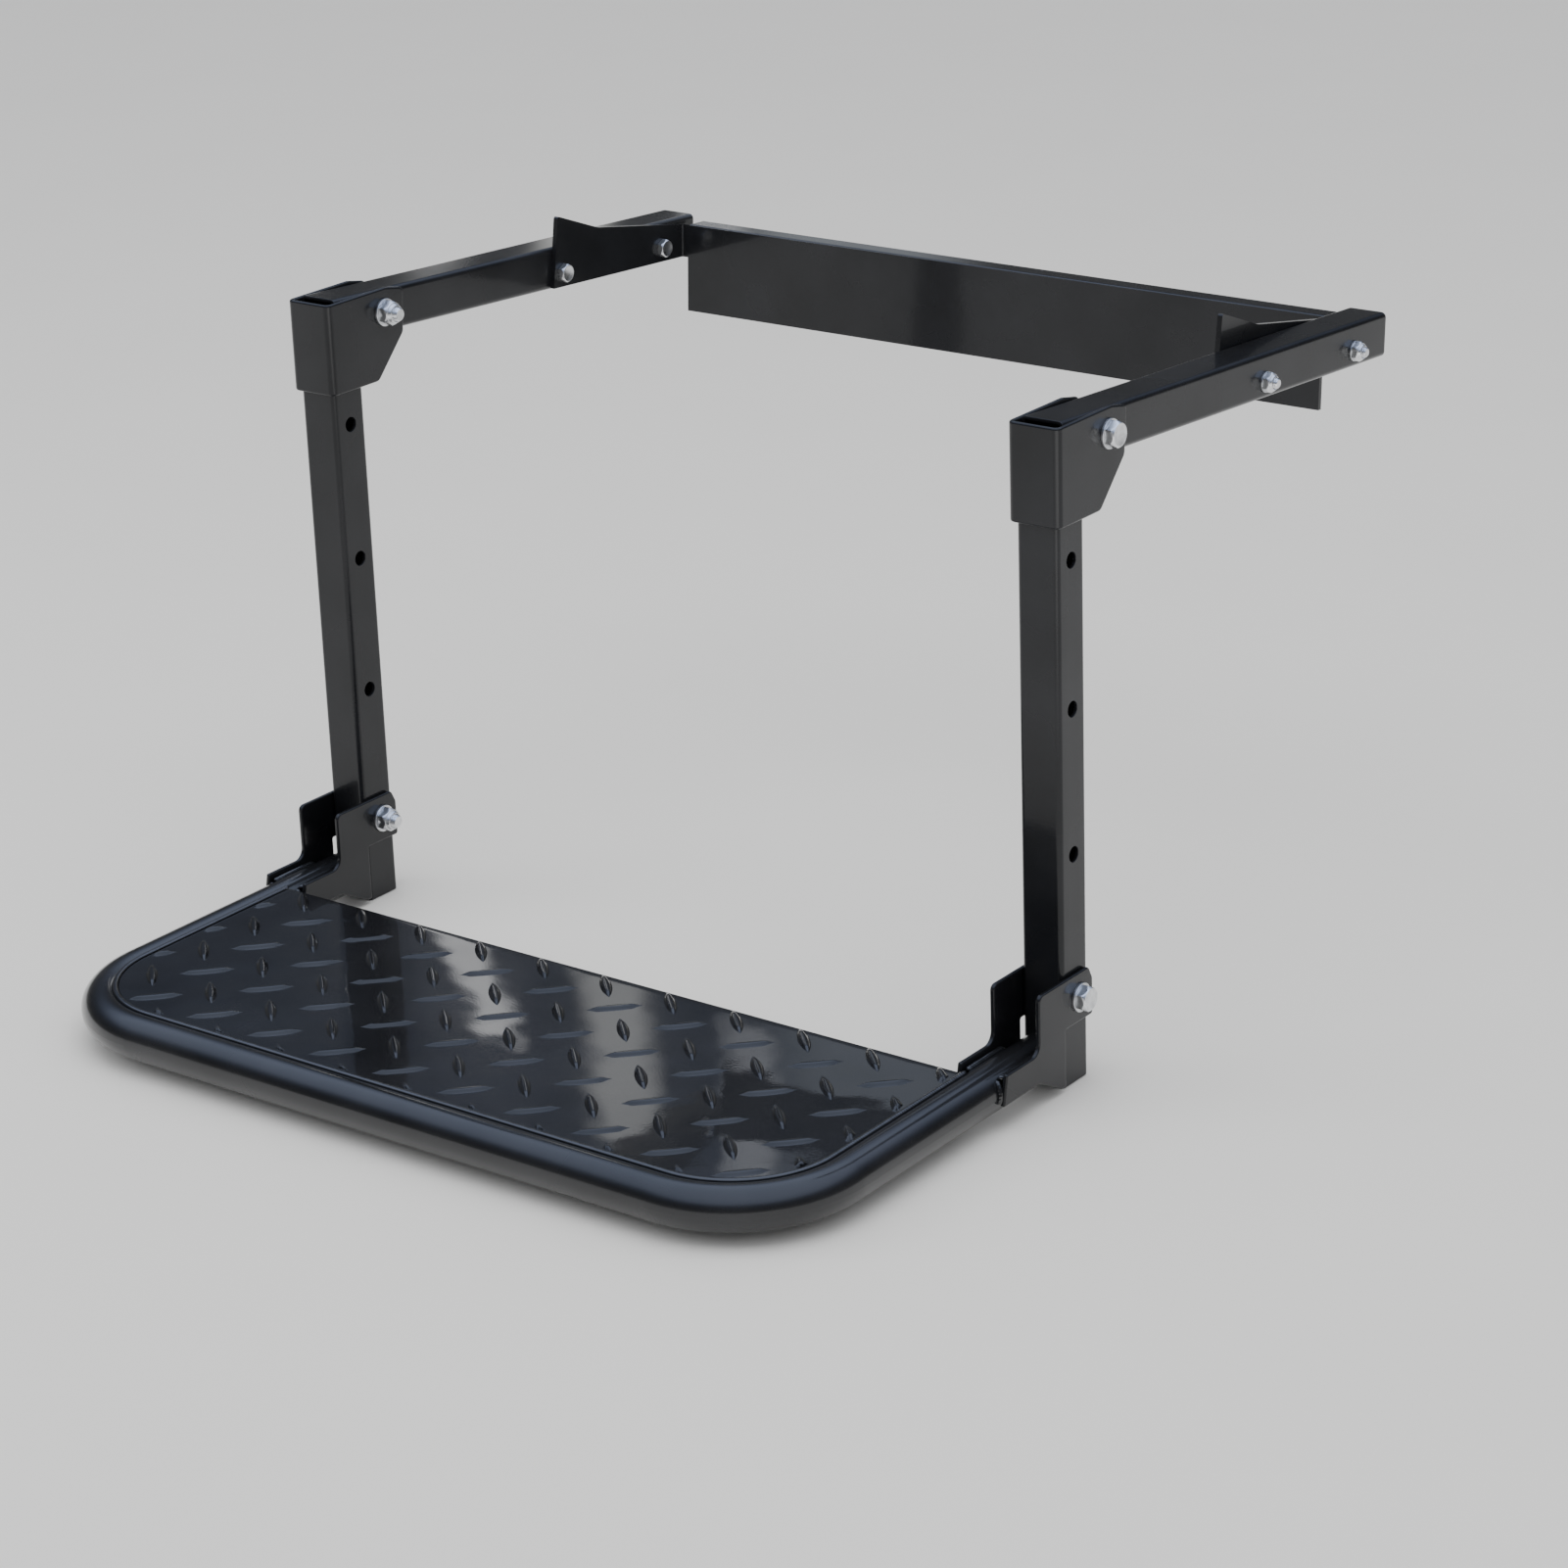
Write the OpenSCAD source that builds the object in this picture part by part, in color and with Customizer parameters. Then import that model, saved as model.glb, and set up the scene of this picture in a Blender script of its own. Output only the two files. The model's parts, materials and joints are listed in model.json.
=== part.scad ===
// Tire step: a folding deck that hangs on a tyre by two legs, two arms and a cross plate.
// Lengths are in millimetres. X runs along the deck, Y points from the deck to the tyre, Z is up.
// The origin is midway between the legs, on the axis of the deck's pivot bolts.

/* [Tubes] */
// Outer width of the square tube of the legs and arms
tube_w = 25; // [22:0.5:28]
// Wall of the square tube
tube_wall = 2; // [1.5:0.1:2.5]
// Outer corner radius of the square tube
tube_corner = 3; // [2.6:0.1:4]

/* [Legs] */
// Distance between the centres of the two legs
leg_span = 487; // [440:1:540]
// Length of each leg below the deck pivot
leg_foot = 49.5; // [47:0.5:60]
// Diameter of the height adjustment holes
hole_d = 8.5; // [8.2:0.1:9.5]
// Distance between neighbouring adjustment holes
hole_pitch = 80; // [60:1:82]
// Number of adjustment holes above the deck pivot
hole_count = 3; // [2:1:3]

/* [Arms] */
// Height of the arm pivot above the deck pivot
arm_pivot_z = 299; // [295:1:330]
// Distance of the arm pivot behind the leg's centre
arm_pivot_y = 31; // [29:0.5:34]
// Length of the arm behind its pivot
arm_back = 292; // [288:1:320]
// Length of the arm ahead of its pivot
arm_front = 38; // [34:0.5:39]
// Angle by which the arms slope down towards the rear
arm_slope = 3.4; // [2:0.1:6]

/* [Upper brackets] */
// Sheet thickness of the upper brackets
bracket_t = 2.8; // [2:0.1:3.5]
// Outer radius of the bracket's vertical bends
bracket_bend = 4; // [3.6:0.1:5]
// Height of the bracket above the arm pivot
bracket_up = 13.8; // [13.2:0.1:20]
// Depth of the bracket below the arm pivot
bracket_down = 39; // [32:0.5:48]
// Reach of the bracket's ears behind the leg's centre
bracket_reach = 48.5; // [46:0.5:56]
// Depth of the ears' upper rear corner below the bracket's top
bracket_slope = 3; // [1:0.1:5]
// Reach of the bracket's bottom edge behind the leg
bracket_foot = 11; // [8:0.5:14]
// Depth of the ears' lowest rear corner below the arm pivot
bracket_corner = 15; // [14:0.5:17]

/* [Hook bar] */
// Sheet thickness of the hook bar
hook_t = 3; // [2:0.1:4]
// Distance from the arm pivot back to the face that hooks behind the tyre
hook_back = 277; // [260:1:280]
// Height of the hook bar's fold above the arm's centre line
hook_up = 8.7; // [6:0.1:11]
// Depth of the hook face below the arm's centre line
hook_down = 45; // [36:1:52]
// Depth of the lip along the top of the hook bar
hook_lip = 16; // [10:0.5:24]
// Outer radius of the bends in the hook bar
hook_bend = 4; // [4:0.1:6]
// Distance from the arm pivot back to the front of the tabs
tab_front = 152; // [146:1:156]
// Height of the tab's front corner above the top of the arm
tab_rise = 19; // [12:0.5:26]
// Length of the tab's sloping top behind its front corner
tab_slope_l = 38; // [30:1:60]
// Height of the tab behind that slope above the fold of the hook bar
tab_shoulder = 10.5; // [6:0.5:12]
// Radius between the tab's slope and its long top edge
tab_curve = 20; // [10:1:24]
// Height of the tab's lower edge above the arm's underside
tab_clear = 1; // [0.5:0.1:3]

/* [Deck frame] */
// Outer diameter of the deck's round tube
rail_d = 25; // [22:0.5:28]
// Wall of the round tube
rail_wall = 2; // [1.5:0.1:2.5]
// Centre line radius of the tube's two bends
rail_bend = 65; // [50:1:80]
// Distance of the front tube's axis ahead of the deck pivot
deck_reach = 256.5; // [230:0.5:257]
// Distance of the tube's axis below the deck pivot
deck_drop = 31.4; // [31:0.1:33]

/* [Deck plate] */
// Thickness of the deck plate without its pattern
plate_t = 2.5; // [2:0.1:3]
// Depth of the plate's top face below the top of the round tube
plate_sink = 1.1; // [0.8:0.1:1.6]
// Distance of the plate's rear edge ahead of the deck pivot
plate_rear = 74; // [73:1:84]
// Depth of the stiffening flange under the plate's rear edge
flange_depth = 18; // [12:1:24]
// Length of a raised lug
lug_l = 30; // [24:1:32]
// Width of a raised lug
lug_w = 6; // [5:0.5:8]
// Height of a raised lug
lug_h = 1.4; // [1:0.1:2]
// Distance between like lugs along the deck
lug_pitch_x = 44.5; // [42:0.5:52]
// Distance between like lugs across the deck
lug_pitch_y = 41; // [40:0.5:50]

/* [Lower brackets] */
// Thickness of the plates that join the rails to the legs
ear_t = 2.8; // [2:0.1:3.5]
// Height of the plates above the deck pivot
ear_up = 14; // [12:0.5:16]
// Reach of the plates along the rails, ahead of the deck pivot
ear_reach = 72.5; // [64:0.5:72.5]
// Distance by which the tips of the plates lean back at their top
ear_lean = 3.5; // [0:0.5:6]
// Reach of the plates' raised part ahead of the leg
ear_front = 26; // [18:0.5:30]
// Height of the plates' front part above the rail's top
ear_over = 0.4; // [0.1:0.1:1]
// Depth of the plates' front part below the rail's axis
ear_under = 4; // [2:0.1:6]
// Height of the plates' lowest edge above the foot of the leg
ear_lift = 3; // [1:0.5:6]

/* [Fasteners] */
// Diameter of the pivot bolts
bolt_d = 8; // [7.5:0.1:8]
// Radial clearance of a pivot bolt in its bores
pivot_gap = 0.06; // [0.03:0.01:0.1]
// Width across flats of the pivot bolts' heads and nuts
bolt_af = 13; // [12:0.5:14]
// Height of a pivot bolt's head
bolt_head = 5.3; // [4:0.1:6]
// Height of a pivot bolt's lock nut
nut_h = 8; // [6.5:0.1:9]
// Outer diameter of the pivot bolts' washers
washer_d = 16; // [15:0.5:17]
// Thickness of the pivot bolts' washers
washer_t = 1.6; // [1:0.1:2]
// Length of bolt that stands out of its nut
bolt_tail = 2.7; // [1:0.1:4]
// Diameter of the bolts that hold the hook bar
hook_bolt_d = 6; // [5:0.5:6.5]
// Width across flats of the hook bolts' heads and nuts
hook_bolt_af = 10; // [9:0.5:11]
// Height of a hook bolt's head
hook_bolt_head = 4; // [3:0.1:5]
// Height of a hook bolt's nut
hook_nut_h = 5; // [4:0.1:7]
// Outer diameter of the hook bolts' washers
hook_washer_d = 11.5; // [11:0.5:13]
// Thickness of the hook bolts' washers
hook_washer_t = 1.2; // [1:0.1:1.6]
// Length of a hook bolt that stands out of its nut
hook_bolt_tail = 2; // [1:0.1:3]

/* [Hidden] */
$fn = 48;

left = -1;
right = 1;
// Facets on each rounded corner of an outline
corner_steps = 6;
// Extra length of a cutting shape beyond the face that it cuts
over = 1;

// Side gap between a tube and the bracket that it turns in
side_gap = 0.25;
// Gap between a stop and the face that bears on it
stop_gap = 0.3;
// Radial clearance of the fixed bolts in their holes
hole_gap = 0.2;

leg_x = leg_span / 2;
pivot_bore = bolt_d + 2 * pivot_gap;
// Lowest height of the arm's underside over the leg's rear face, where the arm bears on the leg
arm_under = arm_pivot_z - tube_w / 2 / cos(arm_slope) + (arm_pivot_y - tube_w / 2) * tan(arm_slope);
leg_top = arm_under - stop_gap;
bracket_half = tube_w / 2 + side_gap + bracket_t;
// The plates beside a rail clear the rail and the leg, whichever is wider
ear_half = max(tube_w, rail_d) / 2 + side_gap + ear_t;

// The round tube's top and the deck plate's place in it
plate_top = -deck_drop + rail_d / 2 - plate_sink;
plate_under = plate_top - plate_t;
// Gap that the weld fills between the plate's lower edge and the round tube
weld_gap = 0.05;
// Distance of the plate's edge from the tube's axis
plate_seat = sqrt(pow(rail_d / 2, 2) - pow(plate_under + deck_drop, 2)) + weld_gap;
plate_half = leg_x - plate_seat;
plate_corner = rail_bend - plate_seat;
plate_front = deck_reach - plate_seat;
// Bare border of the plate that the weld runs along
plate_border = 2;
// Place of the first lug to the right of the middle and ahead of the plate's rear edge
lug_first_x = 9;
lug_first_y = 13;
// Depth by which a lug runs into the plate
lug_sunk = plate_t / 4;
// Gap between each end of the plate's flange and the rail beside it
flange_gap = 1;
flange_half = leg_x - rail_d / 2 - flange_gap;

// Distance of the front hook bolt behind the tab's front edge
hook_bolt_front = 9;
// Distance of the rear hook bolt ahead of the hook face
hook_bolt_rear = 20;
// Depth of the hook bolts below the arm's centre line
hook_bolt_drop = 3;
// Places of the hook bolts, back from the arm pivot and up from the arm's centre line
hook_bolts = [[tab_front + hook_bolt_front, -hook_bolt_drop], [hook_back - hook_bolt_rear, -hook_bolt_drop]];
arm_inner = leg_x - tube_w / 2;
// Gap between the folded hook face and the plates beside the legs
hook_face_gap = 4;
// Half the width of the hook face below the arms
hook_face_half = leg_x - ear_half - hook_face_gap;

// Distance by which the upper brackets' rear edges lean forward towards their lower corner
bracket_lean = 2;
// Corner radii of the upper brackets' outline, at the lower corners, at the ears' upper corner and at the top
bracket_round = 4.5;
bracket_nose = 3;
bracket_brow = 5;
// Distance behind the arm pivot at which the upper brackets' top edge starts to slope
bracket_level = 2.5;
// Distance by which the tabs' front edges lean back, and the radius of their tips
tab_lean = 4;
tab_tip = 1.5;
// Depth of the tabs' rear top corners below the top of the fold
fold_sunk = 0.5;
// Corner radii of the plates beside the rails: tips, raised part and the curve into the rail
ear_tip = 1;
ear_round = 3.5;
ear_notch = 6.3;
// Width of the flat lowest edge of the plates beside the rails
ear_sole = 4;
// Chamfers of bolt ends and radial play of a nut's bore round its bolt
end_chamfer = 0.8;
nut_play = 0.05;
// Share of a lock nut's height that is its plain collar
collar_share = 0.25;
// Diameters of the cone that chamfers a hexagon, as shares of the width across its flats
hex_cone_base = 1.5;
hex_cone_face = 0.96;
// Diameters of a lock nut's tapering collar, as shares of the width across its flats
collar_base = 0.92;
collar_face = 0.8;

powder = "#1b1c1f";
zinc = "#c9ccd1";

// Rounded outlines: each point is [x, y, radius]

function unit(v) = v / norm(v);

function corner_arc(before, point, after, r) =
    r == 0 ? [point] :
    let (
        u = unit(before - point),
        v = unit(after - point),
        half = acos(u * v) / 2,
        centre = point + unit(u + v) * r / sin(half),
        first = point + u * r / tan(half) - centre,
        last = point + v * r / tan(half) - centre,
        start = atan2(first.y, first.x),
        sweep = (atan2(last.y, last.x) - start + 540) % 360 - 180
    )
    [for (i = [0:corner_steps]) centre + r * [cos(start + sweep * i / corner_steps), sin(start + sweep * i / corner_steps)]];

function flat(p) = [p.x, p.y];

function rounded(outline) =
    let (n = len(outline))
    [for (i = [0:n - 1])
        each corner_arc(flat(outline[(i + n - 1) % n]), flat(outline[i]), flat(outline[(i + 1) % n]), outline[i].z)];

// Shared shapes

module rounded_square(size, r) {
    square([size - 2 * r, size], center = true);
    square([size, size - 2 * r], center = true);
    for (x = [-1, 1], y = [-1, 1])
        translate([x, y] * (size / 2 - r))
            circle(r = r);
}

// A square tube that stands on the XY plane
module square_tube(length) {
    difference() {
        linear_extrude(length)
            rounded_square(tube_w, tube_corner);
        translate([0, 0, -over])
            linear_extrude(length + 2 * over)
                rounded_square(tube_w - 2 * tube_wall, tube_corner - tube_wall);
    }
}

// A straight hole or pin along X, centred on the origin
module x_cylinder(d, length) {
    rotate([0, 90, 0])
        cylinder(d = d, h = length, center = true);
}

// A side outline in Y and Z, given a width along X and centred on the origin
module side_plate(outline, width) {
    rotate([90, 0, 90])
        linear_extrude(width, center = true)
            polygon(rounded(outline));
}

// A hexagon along X that starts at the origin
module x_hexagon(across_flats, length) {
    rotate([0, 90, 0])
        cylinder(d = across_flats / cos(30), h = length, $fn = 6);
}

// A hexagon head with a chamfered outer face, pointing along X
module x_hex_piece(across_flats, length) {
    intersection() {
        x_hexagon(across_flats, length);
        rotate([0, 90, 0])
            cylinder(d1 = across_flats * hex_cone_base, d2 = across_flats * hex_cone_face, h = length);
    }
}

// A nut along X with its bearing face on the origin
module x_nut(across_flats, height, d) {
    collar = height * collar_share;
    difference() {
        union() {
            x_hex_piece(across_flats, height - collar);
            rotate([0, 90, 0])
                cylinder(d1 = across_flats * collar_base, d2 = across_flats * collar_face, h = height);
        }
        x_cylinder(d + 2 * nut_play, 4 * height);
    }
}

// A washer along X with its bearing face on the origin
module x_washer(outer_d, thickness, d) {
    translate([thickness / 2, 0, 0])
        difference() {
            x_cylinder(outer_d, thickness);
            x_cylinder(d + 2 * hole_gap, thickness + over);
        }
}

// A bolt along X: its head's bearing face is on the origin and its shank runs along +X
module x_bolt(d, across_flats, head, length) {
    mirror([1, 0, 0])
        x_hex_piece(across_flats, head);
    rotate([0, 90, 0])
        cylinder(d = d, h = length - end_chamfer);
    translate([length - end_chamfer, 0, 0])
        rotate([0, 90, 0])
            cylinder(d1 = d, d2 = d - 2 * end_chamfer, h = end_chamfer);
}

module at_arm_pivot() {
    translate([0, arm_pivot_y, arm_pivot_z])
        rotate([-arm_slope, 0, 0])
            children();
}

// Legs

module leg(side) {
    color(powder)
        translate([side * leg_x, 0, 0])
            difference() {
                translate([0, 0, -leg_foot])
                    square_tube(leg_top + leg_foot);
                x_cylinder(pivot_bore, tube_w + 2 * over);
                for (i = [1:hole_count])
                    translate([0, 0, i * hole_pitch])
                        x_cylinder(hole_d, tube_w + 2 * over);
            }
}

// Upper brackets: a sheet folded round the front of the leg's head, with two ears that hold the arm

module upper_bracket(side) {
    bottom = arm_pivot_z - bracket_down;
    top = arm_pivot_z + bracket_up;
    front = -bracket_half;
    outline = [
        [front, bottom, 0],
        [tube_w / 2 + bracket_foot, bottom, bracket_round],
        [bracket_reach - bracket_lean, arm_pivot_z - bracket_corner, bracket_round],
        [bracket_reach, top - bracket_slope, bracket_nose],
        [arm_pivot_y + bracket_level, top, bracket_brow],
        [front, top, 0]
    ];
    color(powder)
        translate([side * leg_x, 0, 0])
            difference() {
                intersection() {
                    translate([0, 0, bottom])
                        linear_extrude(top - bottom)
                            bracket_section();
                    side_plate(outline, 2 * bracket_half + over);
                }
                translate([0, arm_pivot_y, arm_pivot_z])
                    x_cylinder(pivot_bore, 2 * bracket_half + over);
            }
}

// The fold as seen from above, open towards the tyre
module bracket_section() {
    inner = bracket_half - bracket_t;
    inner_bend = bracket_bend - bracket_t;
    back = bracket_reach + over;
    difference() {
        polygon(rounded([
            [-bracket_half, -bracket_half, bracket_bend],
            [bracket_half, -bracket_half, bracket_bend],
            [bracket_half, back, 0],
            [-bracket_half, back, 0]
        ]));
        polygon(rounded([
            [-inner, -inner, inner_bend],
            [inner, -inner, inner_bend],
            [inner, back + over, 0],
            [-inner, back + over, 0]
        ]));
    }
}

// Arms and hook bar, drawn level in the arm's own frame and then sloped about the arm pivot

module arm(side) {
    color(powder)
        at_arm_pivot()
            translate([side * leg_x, 0, 0])
                difference() {
                    translate([0, -arm_front, 0])
                        rotate([-90, 0, 0])
                            square_tube(arm_front + arm_back);
                    x_cylinder(pivot_bore, tube_w + 2 * over);
                    for (p = hook_bolts)
                        translate([0, p.x, p.y])
                            x_cylinder(hook_bolt_d + 2 * hole_gap, tube_w + 2 * over);
                }
}

module hook_bar() {
    back = hook_back + hook_t;
    tab_bottom = tab_clear - tube_w / 2;
    tab_outline = [
        [tab_front, tab_bottom, 0],
        [tab_front + tab_lean, tube_w / 2 + tab_rise, tab_tip],
        [tab_front + tab_lean + tab_slope_l, hook_up + tab_shoulder, tab_curve],
        [back, hook_up - fold_sunk, 0],
        [back, tab_bottom, 0]
    ];
    face_outline = [
        [hook_back, -hook_down, 0],
        [back, -hook_down, 0],
        [back, hook_up - hook_t, hook_bend - hook_t],
        [hook_back + hook_lip, hook_up - hook_t, 0],
        [hook_back + hook_lip, hook_up, 0],
        [hook_back, hook_up, hook_bend]
    ];
    color(powder)
        at_arm_pivot()
            difference() {
                union() {
                    intersection() {
                        translate([0, 0, -hook_down])
                            linear_extrude(hook_down + tube_w + tab_rise)
                                hook_section();
                        side_plate(tab_outline, 2 * leg_x);
                    }
                    side_plate(face_outline, 2 * hook_face_half);
                }
                for (p = hook_bolts)
                    translate([0, p.x, p.y])
                        x_cylinder(hook_bolt_d + 2 * hole_gap, 2 * leg_x);
            }
}

// The tabs and the face as seen from above, open towards the arm pivot
module hook_section() {
    inner = arm_inner - hook_t;
    back = hook_back + hook_t;
    front = tab_front - over;
    difference() {
        polygon(rounded([
            [-arm_inner, front, 0],
            [arm_inner, front, 0],
            [arm_inner, back, hook_bend],
            [-arm_inner, back, hook_bend]
        ]));
        polygon(rounded([
            [-inner, front - over, 0],
            [inner, front - over, 0],
            [inner, hook_back, hook_bend - hook_t],
            [-inner, hook_back, hook_bend - hook_t]
        ]));
    }
}

// Deck frame: a round tube bent to a U, open towards the legs

module deck_frame() {
    color(powder)
        difference() {
            deck_tube(rail_d, 0);
            deck_tube(rail_d - 2 * rail_wall, over);
        }
}

// The bent tube's solid of diameter d, with its two ends longer by extra
module deck_tube(d, extra) {
    rail_end = tube_w / 2 + stop_gap;
    rail_front = deck_reach - rail_bend;
    translate([0, 0, -deck_drop]) {
        for (side = [left, right]) {
            translate([side * leg_x, -rail_front, 0])
                rotate([-90, 0, 0])
                    cylinder(d = d, h = rail_front - rail_end + extra);
            translate([side * (leg_x - rail_bend), -rail_front, 0])
                rotate([0, 0, side == left ? 180 : 270])
                    rotate_extrude(angle = 90)
                        translate([rail_bend, 0])
                            circle(d = d);
        }
        translate([0, -deck_reach, 0])
            x_cylinder(d, 2 * (leg_x - rail_bend));
    }
}

// Deck plate: raised lugs on a flat sheet, with a flange turned down along its rear edge

module deck_plate() {
    color(powder) {
        translate([0, 0, plate_under])
            linear_extrude(plate_t)
                plate_outline(0);
        translate([-flange_half, -plate_rear - plate_t, plate_under - flange_depth])
            cube([2 * flange_half, plate_t, flange_depth + plate_t / 2]);
        translate([0, 0, plate_top - lug_sunk])
            linear_extrude(lug_h + lug_sunk)
                intersection() {
                    lugs();
                    plate_outline(plate_border);
                }
    }
}

// The plate as seen from above, smaller all round by inset
module plate_outline(inset) {
    half = plate_half - inset;
    front = -plate_front + inset;
    rear = -plate_rear - inset;
    r = plate_corner - inset;
    translate([-half, front + r])
        square([2 * half, rear - front - r]);
    translate([-half + r, front])
        square([2 * (half - r), r + over]);
    for (side = [left, right])
        translate([side * (half - r), front + r])
            circle(r = r);
}

// The pattern as seen from above: two sets of lugs at right angles, half a pitch apart both ways
module lugs() {
    columns = ceil(plate_half / lug_pitch_x);
    rows = ceil((plate_front - plate_rear) / lug_pitch_y);
    for (i = [-columns:columns], j = [0:rows]) {
        translate([lug_first_x + i * lug_pitch_x, -plate_rear - lug_first_y - j * lug_pitch_y])
            rotate(-45)
                lug();
        translate([lug_first_x + (i + 0.5) * lug_pitch_x, -plate_rear - lug_first_y - (j + 0.5) * lug_pitch_y])
            rotate(45)
                lug();
    }
}

// A lug's outline is a pointed oval between two arcs
module lug() {
    side_r = (pow(lug_l, 2) / 4 + pow(lug_w, 2) / 4) / lug_w;
    intersection() {
        translate([0, side_r - lug_w / 2])
            circle(r = side_r, $fn = 96);
        translate([0, lug_w / 2 - side_r])
            circle(r = side_r, $fn = 96);
    }
}

// Plates that join each rail to its leg, one on each side of them

module ear_plate(x) {
    front = -tube_w / 2 - ear_front;
    rear = tube_w / 2;
    step = rail_d / 2 - deck_drop + ear_over;
    keel = -deck_drop - ear_under;
    foot = -leg_foot + ear_lift;
    outline = [
        [-ear_reach + ear_lean, step, ear_tip],
        [front, step, ear_notch],
        [front, ear_up, ear_round],
        [rear - ear_round, ear_up, ear_round],
        [rear, ear_up - 2 * ear_round, ear_round],
        [rear, -ear_up, ear_round / 2],
        [-rear - ear_tip, -ear_up, ear_tip],
        [-rear - ear_tip, foot, ear_tip],
        [-rear - ear_tip - ear_sole, foot, ear_tip],
        [front, keel, ear_notch],
        [-ear_reach, keel, ear_tip]
    ];
    color(powder)
        translate([x, 0, 0])
            difference() {
                side_plate(outline, ear_t);
                x_cylinder(pivot_bore, ear_t + over);
            }
}

// Fasteners: each pivot bolt is put in from outside and carries its nut on the side between the legs

module pivot_place(side, arm_pivot) {
    translate([side * leg_x, arm_pivot ? arm_pivot_y : 0, arm_pivot ? arm_pivot_z : 0])
        mirror([side == right ? 1 : 0, 0, 0])
            children();
}

// Half the width of the stack of plates that a pivot bolt clamps
function stack_half(arm_pivot) = arm_pivot ? bracket_half : ear_half;

module pivot_bolt(side, arm_pivot) {
    half = stack_half(arm_pivot) + washer_t;
    color(zinc)
        pivot_place(side, arm_pivot)
            translate([-half, 0, 0])
                x_bolt(bolt_d, bolt_af, bolt_head, 2 * half + nut_h + bolt_tail);
}

module pivot_nut(side, arm_pivot) {
    color(zinc)
        pivot_place(side, arm_pivot)
            translate([stack_half(arm_pivot) + washer_t, 0, 0])
                x_nut(bolt_af, nut_h, bolt_d);
}

module pivot_washers(side, arm_pivot) {
    half = stack_half(arm_pivot);
    color(zinc)
        pivot_place(side, arm_pivot)
            for (x = [-half - washer_t, half])
                translate([x, 0, 0])
                    x_washer(washer_d, washer_t, bolt_d);
}

// The hook bolts run from inside the tab out through the arm

module hook_bolt_places(side) {
    at_arm_pivot()
        for (p = hook_bolts)
            translate([side * arm_inner, p.x, p.y])
                mirror([side == left ? 1 : 0, 0, 0])
                    children();
}

module hook_bolt_set(side) {
    color(zinc)
        hook_bolt_places(side)
            translate([-hook_t, 0, 0])
                x_bolt(hook_bolt_d, hook_bolt_af, hook_bolt_head,
                    hook_t + tube_w + hook_washer_t + hook_nut_h + hook_bolt_tail);
}

module hook_nut_set(side) {
    color(zinc)
        hook_bolt_places(side)
            translate([tube_w + hook_washer_t, 0, 0])
                x_nut(hook_bolt_af, hook_nut_h, hook_bolt_d);
}

module hook_washer_set(side) {
    color(zinc)
        hook_bolt_places(side)
            translate([tube_w, 0, 0])
                x_washer(hook_washer_d, hook_washer_t, hook_bolt_d);
}

// Where each plate beside a rail stands
plate_off = ear_half - ear_t / 2;

leg(left);  // left_leg
leg(right);  // right_leg
upper_bracket(left);  // left_upper_bracket
upper_bracket(right);  // right_upper_bracket
arm(left);  // left_arm
arm(right);  // right_arm
hook_bar();
deck_frame();
deck_plate();
ear_plate(-leg_x - plate_off);  // left_outer_plate
ear_plate(-leg_x + plate_off);  // left_inner_plate
ear_plate(leg_x - plate_off);  // right_inner_plate
ear_plate(leg_x + plate_off);  // right_outer_plate
pivot_bolt(left, true);  // left_arm_pivot_bolt
pivot_bolt(right, true);  // right_arm_pivot_bolt
pivot_nut(left, true);  // left_arm_pivot_nut
pivot_nut(right, true);  // right_arm_pivot_nut
pivot_washers(left, true);  // left_arm_pivot_washers
pivot_washers(right, true);  // right_arm_pivot_washers
pivot_bolt(left, false);  // left_deck_pivot_bolt
pivot_bolt(right, false);  // right_deck_pivot_bolt
pivot_nut(left, false);  // left_deck_pivot_nut
pivot_nut(right, false);  // right_deck_pivot_nut
pivot_washers(left, false);  // left_deck_pivot_washers
pivot_washers(right, false);  // right_deck_pivot_washers
hook_bolt_set(left);  // left_hook_bolts
hook_bolt_set(right);  // right_hook_bolts
hook_nut_set(left);  // left_hook_nuts
hook_nut_set(right);  // right_hook_nuts
hook_washer_set(left);  // left_hook_washers
hook_washer_set(right);  // right_hook_washers
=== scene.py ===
import json
import math

import bmesh
import bpy
from mathutils import Matrix, Vector, noise


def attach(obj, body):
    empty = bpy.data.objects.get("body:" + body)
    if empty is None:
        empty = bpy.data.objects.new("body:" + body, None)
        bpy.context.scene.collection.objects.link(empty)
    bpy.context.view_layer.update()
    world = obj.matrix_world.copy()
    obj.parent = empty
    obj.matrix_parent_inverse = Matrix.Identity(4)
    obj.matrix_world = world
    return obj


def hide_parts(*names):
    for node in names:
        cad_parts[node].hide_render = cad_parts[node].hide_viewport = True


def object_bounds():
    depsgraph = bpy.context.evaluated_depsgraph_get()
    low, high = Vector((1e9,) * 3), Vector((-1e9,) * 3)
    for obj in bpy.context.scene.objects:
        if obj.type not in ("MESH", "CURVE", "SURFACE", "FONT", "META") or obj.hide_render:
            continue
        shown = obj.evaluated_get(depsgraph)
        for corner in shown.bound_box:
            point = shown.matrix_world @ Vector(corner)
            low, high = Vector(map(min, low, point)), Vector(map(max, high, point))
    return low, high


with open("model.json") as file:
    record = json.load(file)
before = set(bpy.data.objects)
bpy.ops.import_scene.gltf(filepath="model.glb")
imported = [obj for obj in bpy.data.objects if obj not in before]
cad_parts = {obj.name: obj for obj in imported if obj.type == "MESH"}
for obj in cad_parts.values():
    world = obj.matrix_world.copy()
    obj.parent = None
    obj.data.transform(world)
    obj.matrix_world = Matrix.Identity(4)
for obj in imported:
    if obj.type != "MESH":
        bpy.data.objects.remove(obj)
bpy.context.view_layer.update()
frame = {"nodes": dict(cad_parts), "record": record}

MM = 0.001
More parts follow.
